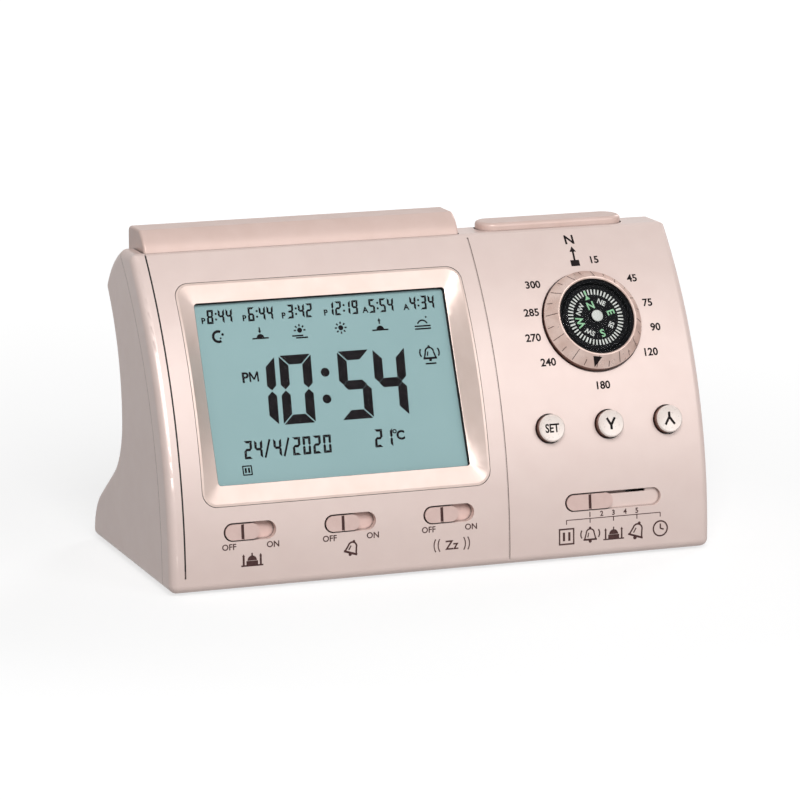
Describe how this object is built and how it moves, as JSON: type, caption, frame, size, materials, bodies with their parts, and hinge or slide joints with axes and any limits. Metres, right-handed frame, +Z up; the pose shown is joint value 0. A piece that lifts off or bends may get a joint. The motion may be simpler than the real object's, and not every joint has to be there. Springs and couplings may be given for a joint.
{
  "type": "desk clock",
  "caption": "Battery desk clock with an arched front, a segment display, a bearing compass under a turning ring, slide switches, push buttons and a long snooze bar.",
  "frame": {"origin": "centre of the footprint, on the table under the feet", "axes": "+X to the right seen from the front, the front looks towards -Y, +Z up"},
  "size_m": [0.17, 0.0784, 0.1002],
  "materials": {
    "casing_plastic": "fine spark texture, champagne pink, low sheen",
    "bezel_plastic": "smooth satin, champagne pink",
    "bar_plastic": "smooth satin, champagne pink, a little darker",
    "ring_plastic": "smooth satin, champagne pink",
    "clear_window": "clear polished acrylic",
    "display_glass": "grey green liquid crystal glass under a clear cover",
    "light_guide": "frosted clear acrylic",
    "white_plastic": "plain moulded",
    "black_plastic": "plain moulded",
    "black_rubber": "conductive strip rubber",
    "grey_rubber": "soft matte",
    "circuit_board": "green solder mask",
    "plated_metal": "bright nickel plate",
    "brass_pin": "pale polished brass",
    "compass_card": "printed black card with white ticks and letters",
    "magnet": "plain ferrite",
    "speaker_paper": "pressed paper cone",
    "cell_wrap": "plain dark wrap over a steel can"
  },
  "bodies": {
    "casing": {"front_shell": "casing_plastic", "rear_shell": "casing_plastic", "display_bezel": "bezel_plastic", "display_window": "clear_window", "lcd_glass": "display_glass", "light_guide": "light_guide", "lcd_holder": "white_plastic", "contact_strips": "black_rubber", "backlight_led": "white_plastic", "display_board": "circuit_board", "switch_board": "circuit_board", "key_board": "circuit_board", "top_board": "circuit_board", "clock_chip": "black_plastic", "clock_crystal": "plated_metal", "board_capacitors": "black_plastic", "temperature_sensor": "black_plastic", "slide_switches": "plated_metal", "mode_switch": "plated_metal", "key_switches": "black_plastic", "top_switches": "black_plastic", "compass_cup": "black_plastic", "compass_pivot": "brass_pin", "compass_dome": "clear_window", "compass_carrier": "white_plastic", "speaker_basket": "plated_metal", "speaker_cone": "speaker_paper", "battery_front": "cell_wrap", "battery_rear": "cell_wrap", "contact_springs": "plated_metal", "contact_plates": "plated_metal", "case_screws": "plated_metal", "board_screws": "plated_metal", "rubber_feet": "grey_rubber"},
    "snooze_bar": {"snooze_bar": "bar_plastic"},
    "light_key": {"light_key": "bar_plastic"},
    "azan_switch": {"azan_switch_knob": "casing_plastic", "azan_switch_lever": "black_plastic"},
    "alarm_switch": {"alarm_switch_knob": "casing_plastic", "alarm_switch_lever": "black_plastic"},
    "snooze_switch": {"snooze_switch_knob": "casing_plastic", "snooze_switch_lever": "black_plastic"},
    "mode_selector": {"mode_selector_knob": "casing_plastic", "mode_selector_lever": "black_plastic"},
    "set_button": {"set_button": "casing_plastic"},
    "down_button": {"down_button": "casing_plastic"},
    "up_button": {"up_button": "casing_plastic"},
    "compass_ring": {"compass_ring": "ring_plastic", "ring_retainer": "white_plastic"},
    "compass_card": {"compass_card": "compass_card", "compass_magnet": "magnet"},
    "battery_door": {"battery_door": "casing_plastic"}
  },
  "joints": [
    {"name": "snooze_bar_press", "type": "slide", "parent": "casing", "child": "snooze_bar", "axis": [0, 0, -1], "range_m": [0, 0.0015], "stiffness_N_per_m": 600, "springref_m": -0.0008},
    {"name": "light_key_press", "type": "slide", "parent": "casing", "child": "light_key", "axis": [0, 0, -1], "range_m": [0, 0.001], "stiffness_N_per_m": 500, "springref_m": -0.0008},
    {"name": "azan_switch_slide", "type": "slide", "parent": "casing", "child": "azan_switch", "axis": [1, 0, 0], "range_m": [0, 0.0048]},
    {"name": "alarm_switch_slide", "type": "slide", "parent": "casing", "child": "alarm_switch", "axis": [1, 0, 0], "range_m": [0, 0.0048]},
    {"name": "snooze_switch_slide", "type": "slide", "parent": "casing", "child": "snooze_switch", "axis": [1, 0, 0], "range_m": [0, 0.0048]},
    {"name": "mode_switch_slide", "type": "slide", "parent": "casing", "child": "mode_selector", "axis": [1, 0, 0], "range_m": [0, 0.0154]},
    {"name": "set_button_press", "type": "slide", "parent": "casing", "child": "set_button", "axis": [0, 0.9602, -0.2794], "range_m": [0, 0.0008], "stiffness_N_per_m": 400, "springref_m": -0.0005},
    {"name": "down_button_press", "type": "slide", "parent": "casing", "child": "down_button", "axis": [0, 0.9602, -0.2794], "range_m": [0, 0.0008], "stiffness_N_per_m": 400, "springref_m": -0.0005},
    {"name": "up_button_press", "type": "slide", "parent": "casing", "child": "up_button", "axis": [0, 0.9602, -0.2794], "range_m": [0, 0.0008], "stiffness_N_per_m": 400, "springref_m": -0.0005},
    {"name": "compass_ring_turn", "type": "hinge", "parent": "casing", "child": "compass_ring", "pos_m": [0.0531, -0.02161, 0.06892], "axis": [0, -0.8679, 0.4967], "continuous": true},
    {"name": "compass_card_spin", "type": "hinge", "parent": "casing", "child": "compass_card", "pos_m": [0.0531, -0.02161, 0.06892], "axis": [0, -0.8679, 0.4967], "continuous": true},
    {"name": "battery_door_slide", "type": "slide", "parent": "casing", "child": "battery_door", "axis": [0, 1, 0], "range_m": [0, 0.045]}
  ]
}
